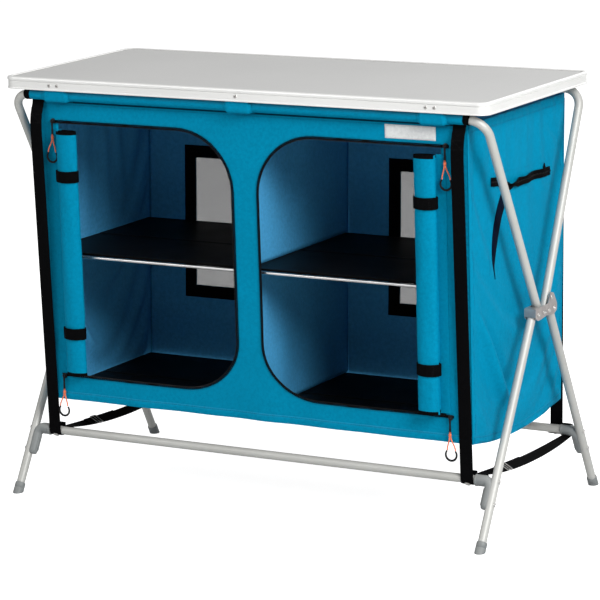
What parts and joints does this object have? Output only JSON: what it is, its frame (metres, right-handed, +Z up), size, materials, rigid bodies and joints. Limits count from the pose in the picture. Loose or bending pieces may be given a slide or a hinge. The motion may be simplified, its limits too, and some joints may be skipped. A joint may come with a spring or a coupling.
{
  "type": "folding camping cupboard",
  "caption": "Folding camping cupboard: pale worktop on crossed tube frames with riveted fold brackets, blue fabric cabinet with rolled zip doors, a shelf and straps",
  "frame": {"origin": "On the floor, under the middle of the four feet and of the worktop's width.", "axes": "+X runs along the worktop to the right as seen from the doors, -Y points to the front where the doors are, and +Z is up."},
  "size_m": [1.0068, 0.5275, 0.8],
  "materials": {
    "laminate": "pale grey laminated board with a satin surface",
    "rim": "satin anodised aluminium edge profile",
    "tube": "light silver-grey painted tube, satin",
    "bracket_steel": "zinc-plated pressed steel",
    "rivet_steel": "plated rivets",
    "grey_plastic": "moulded grey plastic",
    "blue_cloth": "coated woven polyester, blue",
    "zip_tape": "black woven zip tape with a coil",
    "net": "grey knitted mosquito net",
    "webbing": "black woven webbing",
    "board": "stiff boards covered in dark coated cloth",
    "rod": "thin bright steel rod",
    "label": "plain woven light patch",
    "pull_cord": "orange cord with a black tab and a black loop"
  },
  "bodies": {
    "frame": {"front_upper_frame": "tube", "rear_crossbar": "tube", "cross_strap_left": "webbing", "cross_strap_right": "webbing", "fold_bracket_left": "bracket_steel", "fold_bracket_right": "bracket_steel", "front_leg_rivet_left": "rivet_steel", "front_leg_rivet_right": "rivet_steel", "front_frame_rivet_left": "rivet_steel", "front_frame_rivet_right": "rivet_steel", "rear_frame_rivet_left": "rivet_steel", "rear_frame_rivet_right": "rivet_steel", "rear_leg_rivet_left": "rivet_steel", "rear_leg_rivet_right": "rivet_steel", "rear_leg_left": "tube", "rear_leg_right": "tube", "rear_elbow_left": "grey_plastic", "rear_elbow_right": "grey_plastic", "rear_foot_cap_left": "grey_plastic", "rear_foot_cap_right": "grey_plastic"},
    "rear_frame": {"rear_upper_frame": "tube"},
    "front_legs": {"front_crossbar": "tube", "front_leg_left": "tube", "front_leg_right": "tube", "front_elbow_left": "grey_plastic", "front_elbow_right": "grey_plastic", "front_foot_cap_left": "grey_plastic", "front_foot_cap_right": "grey_plastic"},
    "worktop": {"worktop_panel": "laminate", "worktop_edge": "rim", "front_rail_clamp_left": "grey_plastic", "front_rail_clamp_middle": "grey_plastic", "front_rail_clamp_right": "grey_plastic", "rear_rail_clip_left": "grey_plastic", "rear_rail_clip_right": "grey_plastic"},
    "cabinet": {"front_panel": "blue_cloth", "back_panel": "blue_cloth", "divider_panel": "blue_cloth", "window_net": "net", "label_patch": "label", "shelf_rod_front": "rod", "side_panel_left": "blue_cloth", "side_panel_right": "blue_cloth", "door_zip_left": "zip_tape", "door_zip_right": "zip_tape", "rolled_door_left": "blue_cloth", "rolled_door_right": "blue_cloth", "front_strap_left": "webbing", "front_strap_right": "webbing", "rear_strap_left": "webbing", "rear_strap_right": "webbing"},
    "shelf_front": {"shelf_board_front": "board"},
    "shelf_rear": {"shelf_board_rear": "board", "shelf_rod_rear": "rod"},
    "floor_front": {"floor_board_front": "board"},
    "floor_rear": {"floor_board_rear": "board"},
    "pull_top_left": {"zip_pull_top_left": "pull_cord"},
    "pull_top_right": {"zip_pull_top_right": "pull_cord"},
    "pull_bottom_left": {"zip_pull_bottom_left": "pull_cord"},
    "pull_bottom_right": {"zip_pull_bottom_right": "pull_cord"}
  },
  "joints": [
    {"name": "frame_fold", "type": "hinge", "parent": "frame", "child": "rear_frame", "pos_m": [0, 0.023, 0.3865], "axis": [1, 0, 0], "range_deg": [0, 54], "deforming": ["back_panel", "side_panel_left", "side_panel_right", "divider_panel", "window_net", "front_strap_left", "front_strap_right", "rear_strap_left", "rear_strap_right", "cross_strap_left", "cross_strap_right"]},
    {"name": "front_legs_fold", "type": "hinge", "parent": "frame", "child": "front_legs", "pos_m": [0, -0.0243, 0.3865], "axis": [1, 0, 0], "range_deg": [0, 58.6]},
    {"name": "worktop_lift", "type": "hinge", "parent": "frame", "child": "worktop", "pos_m": [0, -0.214, 0.7668], "axis": [1, 0, 0], "range_deg": [0, 100]},
    {"name": "cabinet_swing", "type": "hinge", "parent": "frame", "child": "cabinet", "pos_m": [0, -0.214, 0.7668], "axis": [1, 0, 0], "range_deg": [0, 28]},
    {"name": "shelf_front_fold", "type": "hinge", "parent": "cabinet", "child": "shelf_front", "pos_m": [0, -0.18961, 0.458], "axis": [1, 0, 0], "range_deg": [0, 85]},
    {"name": "shelf_rear_fold", "type": "hinge", "parent": "shelf_front", "child": "shelf_rear", "pos_m": [0, -0.00077, 0.4613], "axis": [1, 0, 0], "range_deg": [-170, 0]},
    {"name": "floor_front_fold", "type": "hinge", "parent": "cabinet", "child": "floor_front", "pos_m": [0, -0.18861, 0.186], "axis": [1, 0, 0], "range_deg": [0, 85]},
    {"name": "floor_rear_fold", "type": "hinge", "parent": "floor_front", "child": "floor_rear", "pos_m": [0, -0.00579, 0.186], "axis": [1, 0, 0], "range_deg": [-170, 0]},
    {"name": "pull_swing_top_left", "type": "hinge", "parent": "cabinet", "child": "pull_top_left", "pos_m": [-0.408, -0.21032, 0.7172], "axis": [-1, 0, 0], "range_deg": [0, 85]},
    {"name": "pull_swing_top_right", "type": "hinge", "parent": "cabinet", "child": "pull_top_right", "pos_m": [0.408, -0.21032, 0.7172], "axis": [-1, 0, 0], "range_deg": [0, 85]},
    {"name": "pull_swing_bottom_left", "type": "hinge", "parent": "cabinet", "child": "pull_bottom_left", "pos_m": [-0.408, -0.20111, 0.226], "axis": [-1, 0, 0], "range_deg": [0, 85]},
    {"name": "pull_swing_bottom_right", "type": "hinge", "parent": "cabinet", "child": "pull_bottom_right", "pos_m": [0.408, -0.20111, 0.226], "axis": [-1, 0, 0], "range_deg": [0, 85]}
  ],
  "couplings": [
    {"joint": "front_legs_fold", "follows": "frame_fold", "ratio": 1.083},
    {"joint": "worktop_lift", "follows": "frame_fold", "ratio": 1.85},
    {"joint": "cabinet_swing", "follows": "frame_fold", "ratio": 0.515},
    {"joint": "shelf_front_fold", "follows": "frame_fold", "ratio": 1.57},
    {"joint": "shelf_rear_fold", "follows": "frame_fold", "ratio": -3.14},
    {"joint": "floor_front_fold", "follows": "frame_fold", "ratio": 1.57},
    {"joint": "floor_rear_fold", "follows": "frame_fold", "ratio": -3.14}
  ]
}
